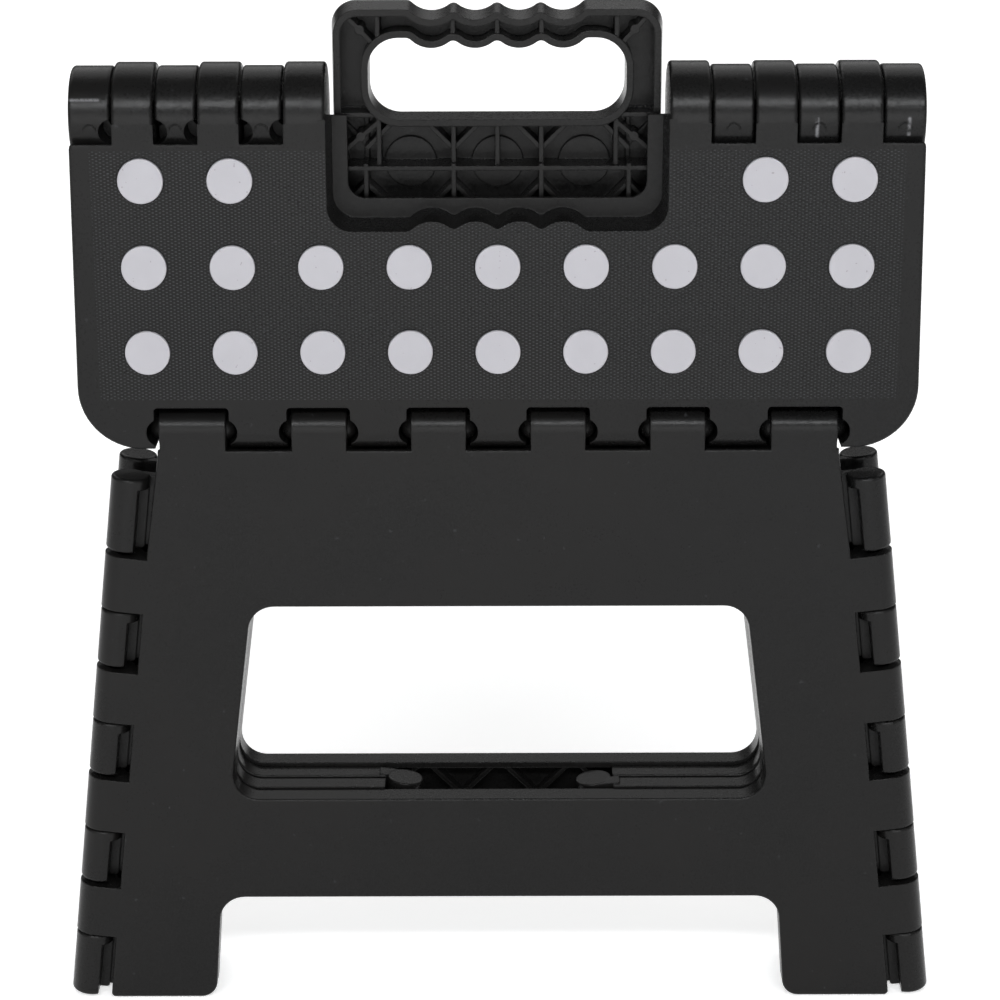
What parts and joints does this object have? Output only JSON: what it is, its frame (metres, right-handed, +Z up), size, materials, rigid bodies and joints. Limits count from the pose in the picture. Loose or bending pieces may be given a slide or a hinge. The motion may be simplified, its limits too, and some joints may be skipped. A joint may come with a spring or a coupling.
{
  "type": "folding step stool",
  "caption": "Folding plastic step stool, folded flat: hinged top with grip dots and a carrying handle, leg panels and folding side gussets.",
  "frame": {"origin": "on the floor, at the middle of the folded stool", "axes": "+Z up, -Y towards the front, +X to the right seen from the front"},
  "size_m": [0.3216, 0.0378, 0.367],
  "materials": {
    "shell": "fine moulded grain, satin",
    "grip_dots": "smooth soft plastic",
    "foot_pads": "matte"
  },
  "bodies": {
    "rear_leg_body": {"leg_rear": "shell", "rear_left_foot_pad": "foot_pads", "rear_right_foot_pad": "foot_pads"},
    "rear_top_body": {"top_rear": "shell", "rear_grip_dots_row_1": "grip_dots", "rear_grip_dots_row_2": "grip_dots", "rear_grip_dots_row_3": "grip_dots"},
    "front_top_body": {"top_front": "shell", "front_grip_dots_row_1": "grip_dots", "front_grip_dots_row_2": "grip_dots", "front_grip_dots_row_3": "grip_dots"},
    "front_leg_body": {"leg_front": "shell", "front_left_foot_pad": "foot_pads", "front_right_foot_pad": "foot_pads"},
    "rear_left_gusset_body": {"rear_left_gusset": "shell"},
    "rear_right_gusset_body": {"rear_right_gusset": "shell"},
    "front_left_gusset_body": {"front_left_gusset": "shell"},
    "front_right_gusset_body": {"front_right_gusset": "shell"}
  },
  "joints": [
    {"name": "fold", "type": "hinge", "parent": "rear_leg_body", "child": "rear_top_body", "pos_m": [0, 0.011, 0.2215], "axis": [1, 0, 0], "range_deg": [0, 90]},
    {"name": "spine", "type": "hinge", "parent": "rear_top_body", "child": "front_top_body", "pos_m": [0, 0, 0.3305], "axis": [-1, 0, 0], "range_deg": [0, 180]},
    {"name": "front_leg_hinge", "type": "hinge", "parent": "front_top_body", "child": "front_leg_body", "pos_m": [0, -0.011, 0.2215], "axis": [1, 0, 0], "range_deg": [0, 90]},
    {"name": "rear_left_side", "type": "hinge", "parent": "rear_leg_body", "child": "rear_left_gusset_body", "pos_m": [-0.1542, 0.011, 0], "axis": [-0.1172, 0, -0.9931], "range_deg": [0, 90]},
    {"name": "rear_right_side", "type": "hinge", "parent": "rear_leg_body", "child": "rear_right_gusset_body", "pos_m": [0.1542, 0.011, 0], "axis": [-0.1172, 0, 0.9931], "range_deg": [0, 90]},
    {"name": "front_left_side", "type": "hinge", "parent": "front_leg_body", "child": "front_left_gusset_body", "pos_m": [-0.1542, -0.011, 0], "axis": [0.1172, 0, 0.9931], "range_deg": [0, 90]},
    {"name": "front_right_side", "type": "hinge", "parent": "front_leg_body", "child": "front_right_gusset_body", "pos_m": [0.1542, -0.011, 0], "axis": [0.1172, 0, -0.9931], "range_deg": [0, 90]}
  ],
  "couplings": [
    {"joint": "spine", "follows": "fold", "ratio": 2},
    {"joint": "front_leg_hinge", "follows": "fold", "ratio": 1},
    {"joint": "rear_left_side", "follows": "fold", "ratio": 1},
    {"joint": "rear_right_side", "follows": "fold", "ratio": 1},
    {"joint": "front_left_side", "follows": "fold", "ratio": 1},
    {"joint": "front_right_side", "follows": "fold", "ratio": 1}
  ]
}
